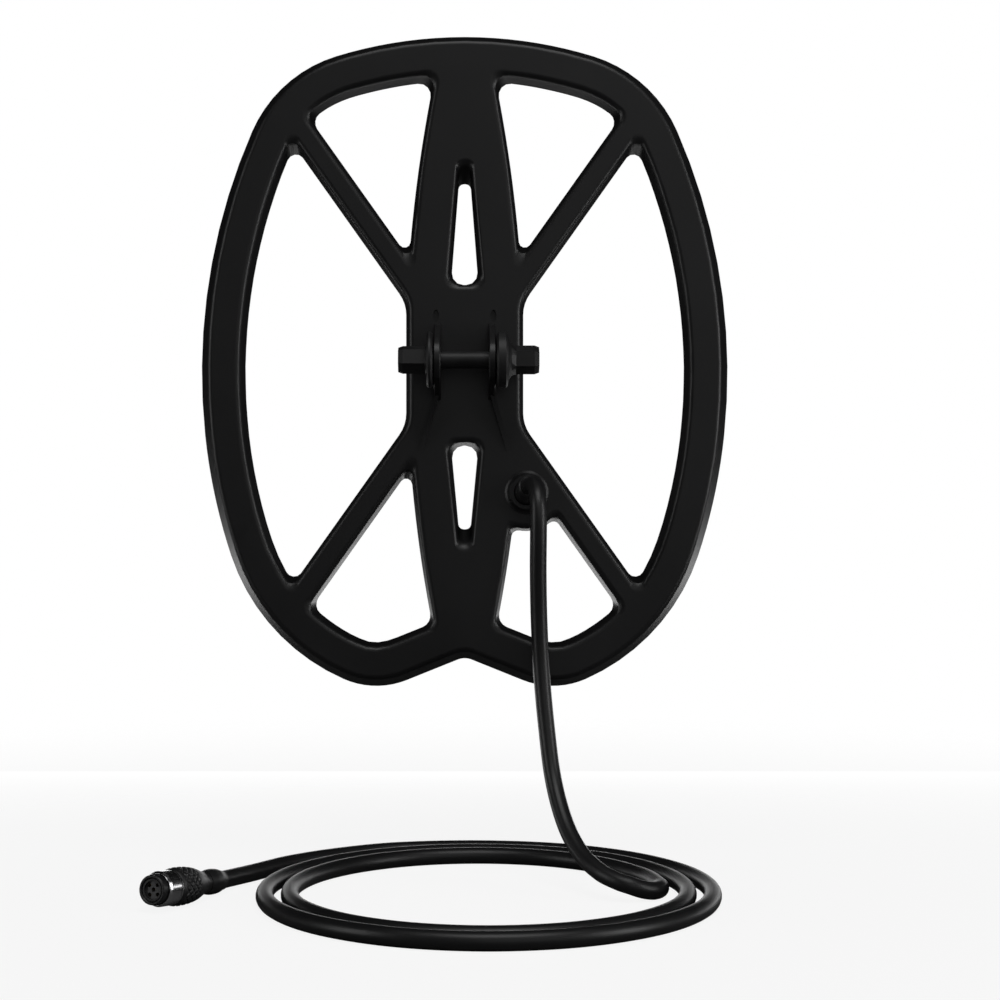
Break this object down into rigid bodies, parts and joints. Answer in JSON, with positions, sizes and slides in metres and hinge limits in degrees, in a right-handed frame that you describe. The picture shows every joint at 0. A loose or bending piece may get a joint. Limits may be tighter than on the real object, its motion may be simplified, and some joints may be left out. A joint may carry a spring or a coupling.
{
  "type": "metal detector search coil",
  "caption": "Open-frame double-D search coil with a clevis on its face, a through bolt and turning knob, and a lead that ends in a round multi-pin plug.",
  "frame": {"origin": "on the pivot bolt's axis, midway between the two ears", "axes": "+X along the pivot axis to the knob, +Z to the coil's toe, +Y the working direction away from the stem: the flat sensing face looks along +Y"},
  "size_m": [0.2352, 0.193, 0.3552],
  "materials": {
    "shell_plastic": "black moulded plastic, low sheen",
    "plate_plastic": "black moulded plastic, satin",
    "nylon": "black nylon, satin",
    "cable_rubber": "black, smooth",
    "grip_rubber": "black, moulded with fine diamonds",
    "seal_rubber": "black",
    "plated_steel": "bright nickel plate",
    "insert_plastic": "black",
    "contact_gold": "gold plate",
    "winding": "taped enamelled wire",
    "board": "green solder mask",
    "capacitor": "dipped film",
    "tinned_wire": "tinned",
    "core_red": "insulation",
    "core_black": "insulation",
    "core_white": "insulation",
    "core_blue": "insulation",
    "core_yellow": "insulation"
  },
  "bodies": {
    "coil": {"top_shell": "shell_plastic", "bottom_shell": "plate_plastic", "transmit_winding": "winding", "receive_winding": "winding", "junction_board": "board", "tuning_capacitor": "capacitor", "core_1": "core_red", "core_2": "core_black", "core_3": "core_white", "core_4": "core_blue", "core_5": "core_yellow", "transmit_lead_a": "tinned_wire", "transmit_lead_b": "tinned_wire", "receive_lead_a": "tinned_wire", "receive_lead_b": "tinned_wire", "gland_nut": "nylon", "strain_relief": "cable_rubber", "cable": "cable_rubber", "plug_body": "insert_plastic", "ring_clip": "plated_steel", "plug_insert": "insert_plastic", "plug_seal": "seal_rubber", "plug_grip": "grip_rubber", "plug_collar": "grip_rubber", "contact_1": "contact_gold", "contact_2": "contact_gold", "contact_3": "contact_gold", "contact_4": "contact_gold", "contact_5": "contact_gold"},
    "bolt": {"pivot_bolt": "nylon"},
    "knob": {"pivot_knob": "nylon"},
    "ring": {"coupling_ring": "plated_steel"}
  },
  "joints": [
    {"name": "knob_turn", "type": "hinge", "parent": "coil", "child": "knob", "pos_m": [0, 0, 0], "axis": [1, 0, 0], "range_deg": [0, 1440]},
    {"name": "bolt_draw", "type": "slide", "parent": "coil", "child": "bolt", "axis": [-1, 0, 0], "range_m": [0, 0.006]},
    {"name": "coupling_ring_turn", "type": "hinge", "parent": "coil", "child": "ring", "pos_m": [-0.11733, -0.07854, -0.20512], "axis": [0.4208, 0.9024, -0.0929], "continuous": true}
  ],
  "couplings": [
    {"joint": "bolt_draw", "follows": "knob_turn", "m_per_rad": 0.00023873}
  ]
}
